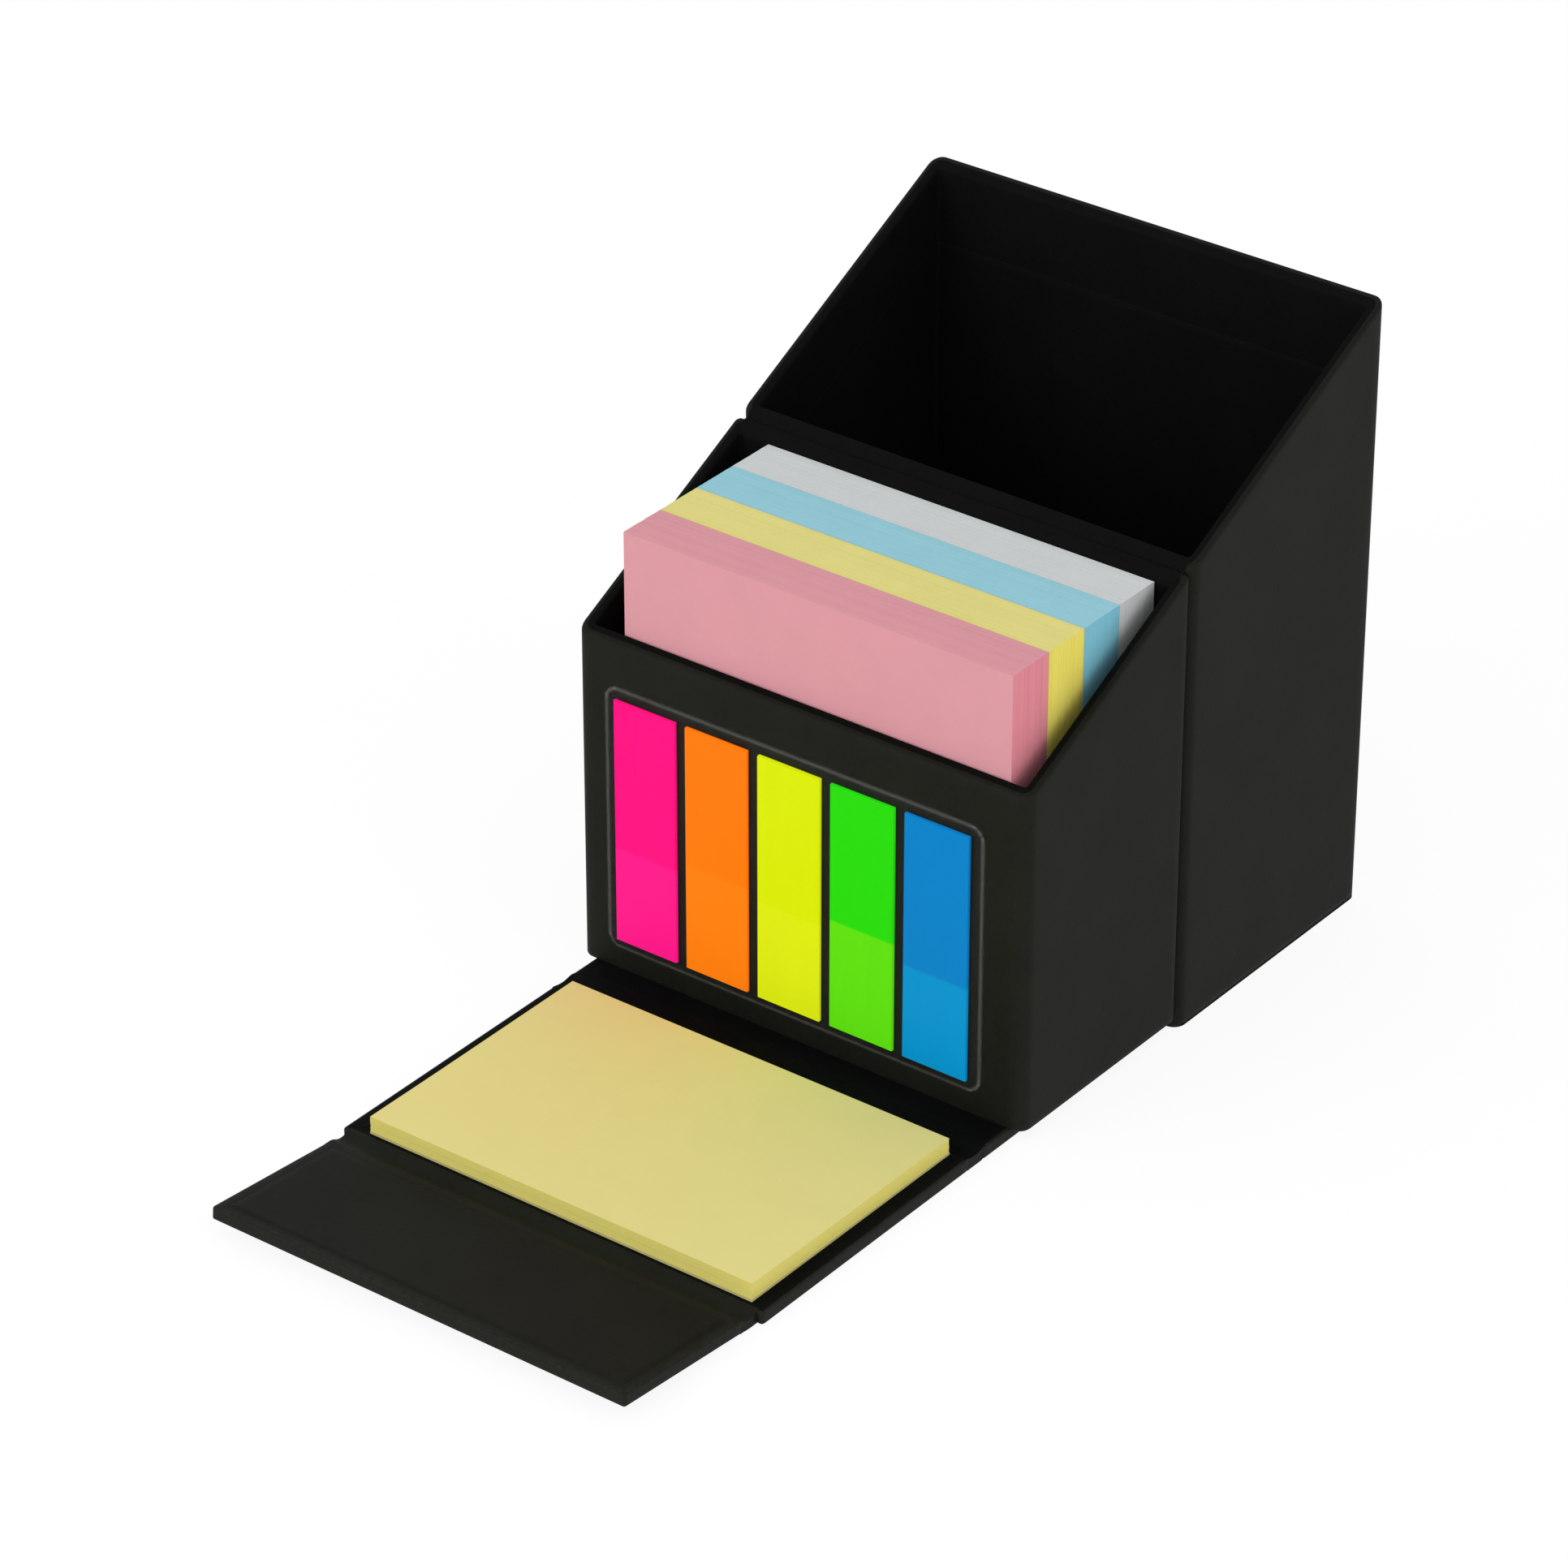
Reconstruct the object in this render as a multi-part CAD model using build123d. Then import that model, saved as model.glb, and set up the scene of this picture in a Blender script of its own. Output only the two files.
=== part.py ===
"""Memo pad set: a wrapped board box whose upper half swings over to stand as a pen holder.

Millimetres. X runs across the box, Y to the rear and Z up. The set is modelled open, and its
origin is the middle of the open set's footprint, on the table.
"""
import os
from math import cos, radians, sin, tan

from build123d import *

# Sheet stock
board = 1.8
paper = 0.2
film = 0.2

# Memo pads, which set the size of the memo box
pad_colours = ("pink", "yellow", "blue", "white")
pad_width = 75.0
pad_height = 77.3
pad_thickness = 9.2
pad_gap = 0.08
pad_gap_left = 5.8
pad_gap_right = 2.8

# Sticky pad on the cover panel
sticky_width = 75.0
sticky_length = 50.0
sticky_thickness = 3.0
sticky_card = 0.4
sticky_off_centre = 0.7
sticky_margin_rear = 0.7
sticky_margin_front = 1.4

# Film flags in their sleeve on the memo box's front wall
flag_colours = ("pink", "orange", "yellow", "green", "blue")
flag_width = 12.3
flag_height = 44.5
flag_thickness = 0.5
flag_spacing = 2.0
flag_clearance = 0.05
flags_above_table = 8.2
flags_off_centre = -1.3
sleeve_rim_left = 2.1
sleeve_rim_right = 2.8
sleeve_rim_low = 1.8
sleeve_rim_top = 2.4
sleeve_radius = 3.0

# Both boxes: walls, rims and the paper hinge between them
box_gap = 0.6
hinge_height = 83.7
rim_angle = 26.6
rim_drop = 0.3
rim_round = 0.35
corner_radius = 2.2
inner_radius = 0.6
floor_ease = 0.3
turn_in = 12.0
leaf_inset = 1.5
leaf_drop = 9.0
leaf_side_gap = 0.4
leaf_slit = 0.05

# Cover: base board, panel and flap
cover_side_gap = 0.5
flap_step = 1.0
flap_length = 28.0
flap_lift = 5.0
shut_gap = 0.4
sleeve_gap = 1.95
fold_near = 1.2
fold_far = 2.6
strip_gap = 0.3
strip_inset = 0.2
cover_radius = 0.6
cover_bevel = 0.3
lining_margin = 2.0

# Sizes that follow from the ones above
wall = board + 2 * paper
pad_count = len(pad_colours)
flag_count = len(flag_colours)
sleeve_thickness = 2 * film + flag_thickness + flag_clearance
box_width = pad_width + pad_gap_left + pad_gap_right + 2 * wall
memo_depth = 2 * wall + paper + pad_count * pad_thickness + (pad_count + 1) * pad_gap
lid_overhang = 2 * wall + shut_gap + sticky_thickness + sleeve_thickness + sleeve_gap
pen_depth = memo_depth + lid_overhang
cover_width = box_width - 2 * (wall + cover_side_gap)
flap_width = cover_width - 2 * flap_step
panel_length = sticky_margin_rear + sticky_length + sticky_margin_front
fold_height = paper
cover_fold = lid_overhang - wall - shut_gap - fold_height

# Places along Y, with the open set centred on the origin and the flap held up a little by its crease
crease = radians(flap_lift)
flap_reach = (fold_far + flap_length) * cos(crease) + fold_height * sin(crease)
reach_front = cover_fold + fold_far + panel_length + fold_near + flap_reach
reach_rear = memo_depth + box_gap + pen_depth
memo_front = (reach_front - reach_rear) / 2
memo_rear = memo_front + memo_depth
hinge_y = memo_rear + box_gap / 2
pen_front = memo_rear + box_gap
pen_rear = pen_front + pen_depth
cover_fold_y = memo_front - cover_fold
base_front = cover_fold_y + fold_near
panel_rear = cover_fold_y - fold_far
panel_front = panel_rear - panel_length
flap_fold_y = panel_front - fold_near
flap_rear = flap_fold_y - fold_far
flap_front = flap_rear - flap_length

# Heights
memo_low = wall
pen_low = paper
pad_low = memo_low + board + paper

# The rims' slant, and a rounding that leaves paper over the boards' sharpest edge
slope = radians(rim_angle)
rim_radius = min(rim_round, 0.9 * paper / (1 - sin(radians(90 - rim_angle) / 2)))
reach = reach_front + reach_rear


def rim_plane(lowered=0.0):
    """Plane of both rims, or one parallel to it and lower, facing up."""
    drop = rim_drop + lowered
    normal = Vector(0, -sin(slope), cos(slope))
    return Plane(Vector(0, hinge_y, hinge_height) - normal * drop, x_dir=(1, 0, 0), z_dir=normal)


def rim_z(y, raised=0.0):
    """Height of the rim plane at y, or of one parallel to it and higher."""
    return hinge_height + (y - hinge_y) * tan(slope) - (rim_drop - raised) / cos(slope)


def below(solid, plane):
    """The part of a solid under a plane."""
    return solid - plane * Box(reach, reach, reach, align=(Align.CENTER, Align.CENTER, Align.MIN))


def soften(solid, plane, radius):
    """Round the edges of the face that a solid has on a plane."""
    edges = [e for e in solid.edges()
             if all(abs(plane.to_local_coords(v.center()).Z) < 1e-4 for v in e.vertices())]
    return fillet(edges, radius)


def slab(width, y_low, y_high, z_low, z_high, x_mid=0.0):
    """A plain rectangular block."""
    place = Pos(x_mid, (y_low + y_high) / 2, (z_low + z_high) / 2)
    return place * Box(width, y_high - y_low, z_high - z_low)


def rounded_slab(width, y_low, y_high, z_low, z_high, radius):
    """A block with rounded upright corners."""
    outline = Pos(0, (y_low + y_high) / 2, z_low) * RectangleRounded(width, y_high - y_low, radius)
    return extrude(outline, z_high - z_low)


def along_x(points, width):
    """A bar across the set, from its outline in Y and Z."""
    outline = Plane.YZ * Polygon(*points, align=None)
    return extrude(outline, width / 2, both=True)


def open_box(y_low, depth, z_low):
    """Mitred boards, floor, wrap paper and lining paper of one box with a slanted rim."""
    y_high = y_low + depth
    z_high = rim_z(y_high) + wall
    floor_top = z_low + board

    def column(inset, radius, z_start):
        return rounded_slab(box_width - 2 * inset, y_low + inset, y_high - inset, z_start, z_high, radius)

    board_outside = column(paper, corner_radius - paper, z_low)
    board_inside = column(paper + board, inner_radius + paper, z_low)
    walls = below(board_outside - board_inside, rim_plane(paper))
    skin = below(column(0, corner_radius, z_low) - column(wall, inner_radius, z_low), rim_plane())
    skin = soften(skin, rim_plane(), rim_radius)
    lined = below(board_inside, rim_plane(turn_in))
    floor_corner = inner_radius + paper + floor_ease
    floor_inset = paper + board
    pieces = {
        "wrap": skin - walls - lined,
        "lining": (lined & column(floor_inset, inner_radius + paper, floor_top))
        - column(wall, inner_radius, floor_top + paper),
        "floor_board": rounded_slab(box_width - 2 * floor_inset, y_low + floor_inset,
                                    y_high - floor_inset, z_low, floor_top, floor_corner),
    }
    left, right, deep = -box_width / 2, box_width / 2, 2 * wall
    corners = {
        "front": ((left, y_low), (right, y_low), (right - deep, y_low + deep), (left + deep, y_low + deep)),
        "rear": ((right, y_high), (left, y_high), (left + deep, y_high - deep), (right - deep, y_high - deep)),
        "left": ((left, y_high), (left, y_low), (left + deep, y_low + deep), (left + deep, y_high - deep)),
        "right": ((right, y_low), (right, y_high), (right - deep, y_high - deep), (right - deep, y_low + deep)),
    }
    for side, outline in corners.items():
        mitre = extrude(Pos(0, 0, z_low) * Polygon(*outline, align=None), z_high - z_low)
        pieces[side + "_board"] = walls & mitre
    return pieces


def hinge_leaf(wall_face, towards):
    """Half of the paper band over the two boxes: along a wall's top and down its inside."""
    skin = wall_face + towards * paper
    edge = hinge_y + towards * leaf_slit
    low = rim_z(wall_face) - leaf_drop
    over_wall = (
        (skin, rim_z(skin)),
        (skin, rim_z(skin, paper)),
        (edge, rim_z(edge, paper)),
        (edge, rim_z(edge)),
    )
    down_inside = (
        (wall_face, low),
        (skin, low),
        (skin, rim_z(skin, paper)),
        (wall_face, rim_z(wall_face)),
    )
    inside_width = box_width - 2 * (wall + inner_radius + leaf_side_gap)
    return along_x(over_wall, box_width - 2 * leaf_inset) + along_x(down_inside, inside_width)


def covered_board(width, y_low, y_high):
    """A flat board in wrap paper that is turned over its edges, with a lining paper on top."""
    core = rounded_slab(width - 2 * paper, y_low + paper, y_high - paper, paper, paper + board,
                        cover_radius - paper)
    lining = slab(width - 2 * lining_margin, y_low + lining_margin, y_high - lining_margin,
                  paper + board, wall)
    block = rounded_slab(width, y_low, y_high, 0, wall, cover_radius)
    block = chamfer(block.faces().sort_by(Axis.Z)[-1].edges(), min(cover_bevel, 1.5 * paper))
    return {"board": core, "wrap": block - core - lining, "lining": lining}


def raised_flap():
    """The cover flap's pieces, turned up about its fold by the angle that the crease keeps."""
    fold = Axis((0, flap_fold_y, fold_height), (-1, 0, 0))
    flat = covered_board(flap_width, flap_front, flap_rear)
    return {name: solid.rotate(fold, flap_lift) for name, solid in flat.items()}


def hinge_strip(width, y_low, y_high):
    """Wrap and lining paper, glued together, in the groove from a board to the one that turns."""
    return slab(width - 2 * strip_inset, y_low + strip_gap, y_high, 0, 2 * paper)


def sticky_pad():
    """The stack of sticky notes and the card under it, on the cover panel."""
    y_low = panel_front + sticky_margin_front
    y_high = y_low + sticky_length
    card_top = wall + sticky_card
    top = wall + sticky_thickness
    return {
        "sticky_pad_card": slab(sticky_width, y_low, y_high, wall, card_top, sticky_off_centre),
        "sticky_pad_sheets": slab(sticky_width, y_low, y_high, card_top, top, sticky_off_centre),
    }


def memo_pads():
    """The pads that stand on edge in the memo box, pink in front."""
    x_mid = (pad_gap_left - pad_gap_right) / 2
    pads = {}
    for place, colour in enumerate(pad_colours):
        y_low = memo_front + wall + pad_gap + place * (pad_thickness + pad_gap)
        pads["memo_pad_" + colour] = slab(pad_width, y_low, y_low + pad_thickness,
                                          pad_low, pad_low + pad_height, x_mid)
    return pads


def flag_set():
    """The film flags and the clear sleeve that holds them flat against the front wall."""
    pitch = flag_width + flag_spacing
    flags_width = pitch * flag_count - flag_spacing
    z_mid = flags_above_table + flag_height / 2
    back_face = memo_front - film
    pocket_face = back_face - flag_thickness - flag_clearance
    upright = Plane(origin=(flags_off_centre, memo_front, z_mid), x_dir=(1, 0, 0), z_dir=(0, -1, 0))
    outline = RectangleRounded(flags_width + sleeve_rim_left + sleeve_rim_right,
                               flag_height + sleeve_rim_low + sleeve_rim_top, sleeve_radius)
    outline = Pos((sleeve_rim_right - sleeve_rim_left) / 2, (sleeve_rim_top - sleeve_rim_low) / 2) * outline
    pocket = Rectangle(flags_width + 2 * flag_clearance, flag_height + 2 * flag_clearance)
    front = extrude(upright.offset(film) * outline, sleeve_thickness - film)
    front -= extrude(upright.offset(film) * pocket, back_face - pocket_face)
    pieces = {
        "flag_sleeve_back": extrude(upright * outline, film),
        "flag_sleeve_front": front,
    }
    for place, colour in enumerate(flag_colours):
        x_mid = flags_off_centre + (place - (flag_count - 1) / 2) * pitch
        pieces["flag_" + colour] = slab(flag_width, back_face - flag_thickness, back_face,
                                        z_mid - flag_height / 2, z_mid + flag_height / 2, x_mid)
    return pieces


def named(prefix, pieces):
    """The same pieces, named for the sub-assembly they belong to."""
    return {prefix + "_" + name: solid for name, solid in pieces.items()}


def memo_pad_set():
    """Every piece of the set, by name."""
    pieces = named("memo_box", open_box(memo_front, memo_depth, memo_low))
    pieces |= named("pen_holder", open_box(pen_front, pen_depth, pen_low))
    pieces["pen_holder_bottom_paper"] = rounded_slab(box_width, pen_front, pen_rear, 0, paper, corner_radius)
    pieces["lid_hinge_leaf_memo_box"] = hinge_leaf(memo_rear - wall, -1)
    pieces["lid_hinge_leaf_pen_holder"] = hinge_leaf(pen_front + wall, 1)
    pieces |= named("base", covered_board(cover_width, base_front, memo_rear))
    pieces |= named("cover_panel", covered_board(cover_width, panel_front, panel_rear))
    pieces |= named("cover_flap", raised_flap())
    pieces["cover_hinge_paper"] = hinge_strip(cover_width, panel_rear, base_front)
    pieces["flap_hinge_paper"] = hinge_strip(flap_width, flap_rear, panel_front)
    pieces |= sticky_pad()
    pieces |= memo_pads()
    pieces |= flag_set()
    return pieces


os.makedirs("parts", exist_ok=True)
for node, solid in memo_pad_set().items():
    export_step(solid, "parts/" + node + ".step")
print(f"lid fold at y {hinge_y:.3f} z {hinge_height:.3f}")
print(f"cover fold at y {cover_fold_y:.3f} z {fold_height:.3f}")
print(f"flap fold at y {flap_fold_y:.3f} z {fold_height:.3f}")
print(f"front face of the memo box at y {memo_front:.3f}")
print(f"pen holder from y {pen_front:.3f} to {pen_rear:.3f}, {box_width:.2f} wide")
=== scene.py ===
"""Looks of the memo pad set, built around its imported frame.

Metres, in the frame's own axes: X runs across the boxes, Y to the rear and Z up. The solids give the
sizes and places, and the classes here give each sub-assembly its paper, film and sheets.
"""
from __future__ import annotations

import logging
import math
from dataclasses import dataclass, field
from enum import Enum
from typing import Any, Sequence

import bmesh
import bpy
import numpy as np
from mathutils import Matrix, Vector


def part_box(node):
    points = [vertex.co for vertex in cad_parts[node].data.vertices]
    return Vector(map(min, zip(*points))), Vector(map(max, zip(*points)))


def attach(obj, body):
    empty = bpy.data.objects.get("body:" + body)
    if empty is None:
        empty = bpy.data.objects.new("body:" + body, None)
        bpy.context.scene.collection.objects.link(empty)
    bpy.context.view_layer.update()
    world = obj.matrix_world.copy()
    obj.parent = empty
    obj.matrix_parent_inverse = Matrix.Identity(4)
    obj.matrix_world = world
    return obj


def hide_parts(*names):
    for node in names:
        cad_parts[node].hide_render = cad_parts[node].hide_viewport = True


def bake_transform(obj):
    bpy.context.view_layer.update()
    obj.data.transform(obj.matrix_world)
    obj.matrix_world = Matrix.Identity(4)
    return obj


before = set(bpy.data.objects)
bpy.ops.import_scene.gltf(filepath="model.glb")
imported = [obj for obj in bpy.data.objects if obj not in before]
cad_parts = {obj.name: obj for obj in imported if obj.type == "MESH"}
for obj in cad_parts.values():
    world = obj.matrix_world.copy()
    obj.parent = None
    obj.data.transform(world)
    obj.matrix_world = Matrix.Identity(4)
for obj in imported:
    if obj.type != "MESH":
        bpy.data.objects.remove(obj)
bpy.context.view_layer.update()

LOG = logging.getLogger("memo_pad_set")
MM = 0.001
SOFT_CORNER = 2.2 * MM
TIGHT_CORNER = 0.9 * MM
WHITE = (1.0, 1.0, 1.0, 1.0)
BOX_SIDES = ("front", "rear", "left", "right", "floor")
MOST_LEAD = 0.2
Colour = tuple[float, float, float, float]
Point = tuple[float, float, float]
Faces = list[tuple[int, ...]]


def srgb(red: int, green: int, blue: int) -> Colour:
    """Linear colour of an 8-bit display colour.

    Args:
        red: Red, 0 to 255.
        green: Green, 0 to 255.
        blue: Blue, 0 to 255.

    Returns:
        Linear red, green, blue and a full alpha.
    """
    def linear(value: int) -> float:
        """One channel without its display curve."""
        share = value / 255
        return share / 12.92 if share <= 0.04045 else ((share + 0.055) / 1.055) ** 2.4

    return linear(red), linear(green), linear(blue), 1.0


def shade(colour: Colour, factor: float) -> Colour:
    """A colour made lighter or darker by a factor."""
    return colour[0] * factor, colour[1] * factor, colour[2] * factor, 1.0


class Wire:
    """One output socket, with arithmetic that adds Math nodes to its tree."""

    def __init__(self, graph: Graph, socket: bpy.types.NodeSocket) -> None:
        """Wraps a socket of a graph."""
        self.graph = graph
        self.socket = socket

    def __add__(self, other: Wire | float) -> Wire:
        """This plus other."""
        return self.graph.math("ADD", self, other)

    __radd__ = __add__

    def __mul__(self, other: Wire | float) -> Wire:
        """This times other."""
        return self.graph.math("MULTIPLY", self, other)

    __rmul__ = __mul__

    def __sub__(self, other: Wire | float) -> Wire:
        """This minus other."""
        return self.graph.math("SUBTRACT", self, other)

    def __rsub__(self, other: float) -> Wire:
        """Other minus this."""
        return self.graph.math("SUBTRACT", other, self)

    def __truediv__(self, other: Wire | float) -> Wire:
        """This over other."""
        return self.graph.math("DIVIDE", self, other)

    def __pow__(self, other: float) -> Wire:
        """This to the power of other."""
        return self.graph.math("POWER", self, other)

    def peak(self, other: Wire | float) -> Wire:
        """The larger of this and other."""
        return self.graph.math("MAXIMUM", self, other)

    def ramp(self, low: float, high: float) -> Wire:
        """A smooth step from 0 at low to 1 at high."""
        inputs = {"Value": self, "From Min": low, "From Max": high}
        return self.graph.wire(self.graph.node("ShaderNodeMapRange", {"interpolation_type": "SMOOTHSTEP"}, inputs))


class Graph:
    """A node tree, with one method that adds any node and a few that read better by name."""

    def __init__(self, tree: bpy.types.NodeTree) -> None:
        """Starts an empty tree."""
        self.tree = tree
        tree.nodes.clear()

    def node(self, kind: str, settings: dict[str, Any] | None = None,
             inputs: dict[str | int, Any] | None = None) -> bpy.types.Node:
        """Adds a node.

        Args:
            kind: The node's type.
            settings: Its properties, which are set first.
            inputs: Values or wires for its sockets, by name or number.

        Returns:
            The node.
        """
        made = self.tree.nodes.new(kind)
        for name, value in (settings or {}).items():
            setattr(made, name, value)
        for key, value in (inputs or {}).items():
            if isinstance(value, Wire):
                self.tree.links.new(value.socket, made.inputs[key])
            else:
                made.inputs[key].default_value = value
        return made

    def wire(self, made: bpy.types.Node, output: str | int = 0) -> Wire:
        """An output of a node."""
        return Wire(self, made.outputs[output])

    def math(self, operation: str, first: Wire | float, second: Wire | float) -> Wire:
        """A Math node on two values."""
        return self.wire(self.node("ShaderNodeMath", {"operation": operation}, {0: first, 1: second}))

    def place(self) -> Wire:
        """Object coordinates."""
        return self.wire(self.node("ShaderNodeTexCoord"), "Object")

    def axes(self, place: Wire) -> tuple[Wire, Wire, Wire]:
        """X, Y and Z of a vector."""
        made = self.node("ShaderNodeSeparateXYZ", None, {0: place})
        return self.wire(made, 0), self.wire(made, 1), self.wire(made, 2)

    def stretched(self, place: Wire, scale: tuple[float, float, float]) -> Wire:
        """A vector scaled along each axis."""
        return self.wire(self.node("ShaderNodeMapping", None, {"Vector": place, "Scale": scale}))

    def noise(self, place: Wire, scale: float, detail: float = 3.0, roughness: float = 0.55) -> Wire:
        """Noise from 0 to 1, with its scale in cycles a metre."""
        inputs = {"Vector": place, "Scale": scale, "Detail": detail, "Roughness": roughness}
        return self.wire(self.node("ShaderNodeTexNoise", None, inputs))

    def attribute(self, name: str) -> Wire:
        """A number that the mesh carries, or 0 where it has none."""
        return self.wire(self.node("ShaderNodeAttribute", {"attribute_name": name}), "Fac")

    def mix(self, factor: Wire, first: Colour | Wire, second: Colour | Wire) -> Wire:
        """A blend of two colours."""
        made = self.node("ShaderNodeMix", {"data_type": "RGBA"}, {0: factor, 6: first, 7: second})
        return self.wire(made, 2)

    def vector(self, operation: str, inputs: dict[str | int, Any], output: str | int = 0) -> Wire:
        """A Vector Math node on vectors or colours."""
        return self.wire(self.node("ShaderNodeVectorMath", {"operation": operation}, inputs), output)

    def bump(self, height: Wire, distance: float, strength: float) -> Wire:
        """A normal that follows a height, in metres at height 1."""
        inputs = {"Height": height, "Distance": distance, "Strength": strength}
        return self.wire(self.node("ShaderNodeBump", None, inputs))

    def shader(self, kind: str, inputs: dict[str | int, Any]) -> Wire:
        """A shader of some kind."""
        return self.wire(self.node(kind, None, inputs))

    def mix_shader(self, factor: Wire, first: Wire, second: Wire) -> Wire:
        """A blend of two shaders."""
        return self.shader("ShaderNodeMixShader", {0: factor, 1: first, 2: second})

    def surface(self, shader: Wire) -> None:
        """Ends a material's tree."""
        self.node("ShaderNodeOutputMaterial", None, {"Surface": shader})


@dataclass(frozen=True)
class Finish:
    """A surface finish that is made once and shared by the pieces that wear it."""

    name: str

    def material(self) -> bpy.types.Material:
        """Makes the finish, or finds it where it is made already.

        Returns:
            The finish as a material.
        """
        found = bpy.data.materials.get(self.name)
        if found is None:
            found = bpy.data.materials.new(self.name)
            found.use_nodes = True
            graph = Graph(found.node_tree)
            graph.surface(graph.shader("ShaderNodeBsdfPrincipled", self.inputs(graph)))
        return found

    def inputs(self, graph: Graph) -> dict[str | int, Any]:
        """Values and wires of the finish's shader."""
        raise NotImplementedError


@dataclass(frozen=True)
class BlackPaper(Finish):
    """Uncoated black paper with short fibres, rubbed paler where it turns over an edge."""

    colour: Colour = srgb(24, 26, 21)
    rubbed: Colour = srgb(42, 43, 39)
    roughness: float = 0.62
    specular: float = 0.08
    specular_tint: Colour = (0.97, 1.0, 0.9, 1.0)
    fibre_scale: float = 2400.0
    cross_scale: float = 1900.0
    cloud_scale: float = 65.0
    scuff_scale: float = 1100.0
    dark: float = 0.6
    light: float = 1.4
    rub_cover: float = 0.6
    grain_height: float = 0.0001
    grain_strength: float = 0.55

    def inputs(self, graph: Graph) -> dict[str | int, Any]:
        """Fibres, clouds of tone and rubbed edges.

        Args:
            graph: The material's graph.

        Returns:
            Values and wires of the shader.
        """
        place = graph.place()
        fibre = graph.noise(graph.stretched(place, (1.0, 1.0, 0.35)), self.fibre_scale, 4.0, 0.65)
        cross = graph.noise(graph.stretched(place, (0.4, 0.4, 1.0)), self.cross_scale)
        cloud = graph.noise(place, self.cloud_scale, 4.0)
        scuff = graph.noise(place, self.scuff_scale, 5.0, 0.7).ramp(0.3, 0.7)
        rub = graph.attribute("wear") * (0.35 + scuff * 0.65)
        grain = fibre * 0.6 + cross * 0.4
        tone = (grain - 0.5) * 0.5 + (cloud - 0.5) * 0.45 + 0.5
        plain = graph.mix(tone.ramp(0.15, 0.85), shade(self.colour, self.dark), shade(self.colour, self.light))
        return {
            "Base Color": graph.mix(rub * self.rub_cover, plain, self.rubbed),
            "Roughness": self.roughness + (grain - 0.5) * 0.22 - rub * 0.06,
            "Specular IOR Level": self.specular,
            "Specular Tint": self.specular_tint,
            "Normal": graph.bump(grain + cloud * 0.6, self.grain_height, self.grain_strength),
        }


@dataclass(frozen=True)
class NotePaper(Finish):
    """Matt pastel paper in sheets that differ a little in tone, with another colour on their cut sides: painted shading
    for how light falls on the sides.
    """

    colour: Colour = srgb(230, 230, 230)
    painted_side_shade: Colour = srgb(230, 230, 230)
    spread: float = 0.07
    roughness: float = 0.86
    specular: float = 0.18
    pulp_scale: float = 140.0
    tooth_scale: float = 3600.0
    sheet_share: float = 0.16
    tooth_height: float = 0.00005
    tooth_strength: float = 0.3

    def inputs(self, graph: Graph) -> dict[str | int, Any]:
        """Sheet tone, pulp clouds, fine tooth and painted shading on the cut sides.

        Args:
            graph: The material's graph.

        Returns:
            Values and wires of the shader.
        """
        place = graph.place()
        pulp = graph.noise(place, self.pulp_scale, 5.0, 0.6)
        tooth = graph.noise(place, self.tooth_scale)
        sheet = graph.attribute("tone")
        tone = (sheet * self.sheet_share + (pulp - 0.5) * 0.5 + (tooth - 0.5) * 0.3 + 0.5).ramp(0.0, 1.0)
        low, high = 1 - self.spread, 1 + self.spread
        face = graph.mix(tone, shade(self.colour, low), shade(self.colour, high))
        # Painted shading: the cut sides get a colour of their own for how light falls on them.
        side = graph.mix(tone, shade(self.painted_side_shade, low), shade(self.painted_side_shade, high))
        return {
            "Base Color": graph.mix(graph.attribute("painted_side_shade"), face, side),
            "Roughness": self.roughness + (tooth - 0.5) * 0.12,
            "Specular IOR Level": self.specular,
            "Normal": graph.bump(tooth + pulp, self.tooth_height, self.tooth_strength),
        }


@dataclass(frozen=True)
class FlagFilm(Finish):
    """Fluorescent film, printed over its upper part and paler where only the film shows, with a painted glow: it emits
    its own colour like a lamp.
    """

    printed: Colour = srgb(255, 0, 128)
    plain: Colour = srgb(255, 40, 150)
    edge_height: float = 0.028
    # The base colour is dimmed, and the film emits the rest of its colour: a painted glow, though the film is no lamp.
    body: float = 0.6
    painted_glow: float = 0.5
    edge_blur: float = 0.00012
    roughness: float = 0.3
    specular: float = 0.03
    streak_scale: float = 420.0
    streak_cover: float = 0.16
    streak_shade: float = 0.55
    streak_height: float = 0.00004
    streak_strength: float = 0.25

    def inputs(self, graph: Graph) -> dict[str | int, Any]:
        """Printed part, faint streaks and a painted glow of the film's own colour.

        Args:
            graph: The material's graph.

        Returns:
            Values and wires of the shader.
        """
        place = graph.place()
        height = graph.axes(place)[2]
        streak = graph.noise(graph.stretched(place, (1.0, 1.0, 0.12)), self.streak_scale)
        print_mask = height.ramp(self.edge_height - self.edge_blur, self.edge_height + self.edge_blur)
        body = graph.mix(print_mask, self.plain, self.printed)
        tone = (streak - 0.5) * 0.5 + graph.attribute("tone") * 0.2 + 0.5
        streaks = tone.ramp(0.1, 0.9) * self.streak_cover
        colour = graph.mix(streaks, body, shade(self.printed, self.streak_shade))
        return {
            "Base Color": graph.vector("SCALE", {0: colour, "Scale": self.body}),
            "Roughness": self.roughness + (streak - 0.5) * 0.16,
            "Specular IOR Level": self.specular,
            # Painted glow: the film emits its own colour whatever light falls on it.
            "Emission Color": colour,
            "Emission Strength": self.painted_glow,
            "Normal": graph.bump(streak, self.streak_height, self.streak_strength),
        }


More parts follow.
